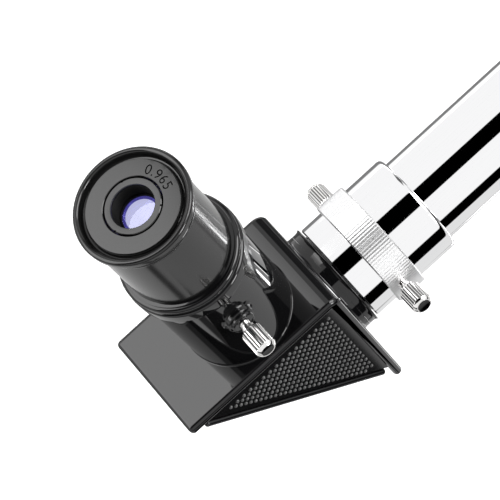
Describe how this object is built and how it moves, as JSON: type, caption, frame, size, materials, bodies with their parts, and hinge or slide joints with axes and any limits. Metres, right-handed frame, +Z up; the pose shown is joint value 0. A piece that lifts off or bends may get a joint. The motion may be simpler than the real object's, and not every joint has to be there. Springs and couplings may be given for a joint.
{
  "type": "refractor telescope",
  "caption": "Small refractor telescope with a rack focuser, polished drawtube, right-angle mirror diagonal, low-power eyepiece and a screw-mount foot.",
  "frame": {"origin": "middle of the tripod thread in the bottom face of the mounting foot, below the main tube", "axes": "+X along the light axis towards the objective, +Z up along the eyepiece, -Y the side of the near thumbscrews"},
  "size_m": [0.38, 0.0668, 0.1322],
  "materials": {
    "gloss_black_plastic": "polished moulded ABS",
    "satin_black_plastic": "satin moulded ABS",
    "matt_black": "matt black paint",
    "chrome": "polished chrome plate",
    "steel": "zinc-plated screw steel",
    "brass": "machined brass",
    "white_enamel": "gloss white enamel on aluminium",
    "coated_glass": "lens glass with a violet-blue coating",
    "mirror": "first-surface mirror",
    "foam": "black foam rubber",
    "nylon": "natural nylon"
  },
  "bodies": {
    "tube_assembly": {"main_tube": "white_enamel", "focuser_body": "satin_black_plastic", "drawtube_bush_rear": "nylon", "drawtube_bush_front": "nylon", "pinion_cap": "satin_black_plastic", "cap_screw_1": "steel", "cap_screw_2": "steel", "cap_screw_3": "steel", "cap_screw_4": "steel", "tube_screw_1": "steel", "tube_screw_2": "steel", "tube_screw_3": "steel", "objective_cell": "satin_black_plastic", "crown_lens": "coated_glass", "flint_lens": "coated_glass", "lens_spacer": "matt_black", "lens_retaining_ring": "satin_black_plastic", "dew_shield": "satin_black_plastic", "tube_baffle_rear": "matt_black", "tube_baffle_front": "matt_black", "mounting_foot": "satin_black_plastic", "tripod_thread_insert": "brass", "foot_screw_rear": "steel", "foot_screw_front": "steel"},
    "focus_shaft": {"pinion_gear": "brass", "pinion_shaft": "steel", "focus_knob_left": "satin_black_plastic", "focus_knob_right": "satin_black_plastic", "knob_screw_left": "steel", "knob_screw_right": "steel"},
    "drawtube_assembly": {"drawtube": "chrome", "drawtube_collar": "chrome", "drawtube_baffle": "matt_black", "focus_rack": "nylon", "rack_screw_rear": "steel", "rack_screw_front": "steel"},
    "diagonal": {"diagonal_housing": "gloss_black_plastic", "nose_barrel": "satin_black_plastic", "diagonal_mirror": "mirror", "mirror_pad": "foam", "back_cover": "gloss_black_plastic", "cover_screw_1": "steel", "cover_screw_2": "steel", "cover_screw_3": "steel", "cover_screw_4": "steel"},
    "eyepiece": {"eyepiece_body": "satin_black_plastic", "eyepiece_barrel": "chrome", "eye_lens": "coated_glass", "eye_lens_retainer": "satin_black_plastic", "field_lens": "coated_glass", "field_lens_retainer": "matt_black", "field_stop": "matt_black"},
    "collar_screw_near": {"collar_thumbscrew_near": "chrome"},
    "collar_screw_far": {"collar_thumbscrew_far": "chrome"},
    "socket_screw": {"socket_thumbscrew": "chrome"},
    "lock_screw": {"focus_lock_screw": "chrome"}
  },
  "joints": [
    {"name": "drawtube_slide", "type": "slide", "parent": "tube_assembly", "child": "drawtube_assembly", "axis": [-1, 0, 0], "range_m": [-0.03, 0.026]},
    {"name": "focus_turn", "type": "hinge", "parent": "tube_assembly", "child": "focus_shaft", "pos_m": [-0.087, 0, 0.0216], "axis": [0, 1, 0], "range_deg": [-250, 288]},
    {"name": "diagonal_turn", "type": "hinge", "parent": "drawtube_assembly", "child": "diagonal", "pos_m": [-0.175, 0, 0.043], "axis": [1, 0, 0], "continuous": true},
    {"name": "eyepiece_slide", "type": "slide", "parent": "diagonal", "child": "eyepiece", "axis": [0, 0, 1], "range_m": [0, 0.024]},
    {"name": "collar_screw_near_travel", "type": "slide", "parent": "drawtube_assembly", "child": "collar_screw_near", "axis": [0, -0.9848, 0.1736], "range_m": [0, 0.003]},
    {"name": "collar_screw_far_travel", "type": "slide", "parent": "drawtube_assembly", "child": "collar_screw_far", "axis": [0, 0.9848, -0.1736], "range_m": [0, 0.003]},
    {"name": "socket_screw_travel", "type": "slide", "parent": "diagonal", "child": "socket_screw", "axis": [0, -1, 0], "range_m": [0, 0.003]},
    {"name": "lock_screw_travel", "type": "slide", "parent": "tube_assembly", "child": "lock_screw", "axis": [0, 0, 1], "range_m": [0, 0.003]}
  ],
  "couplings": [
    {"joint": "focus_turn", "follows": "drawtube_slide", "rad_per_m": -166.67}
  ]
}
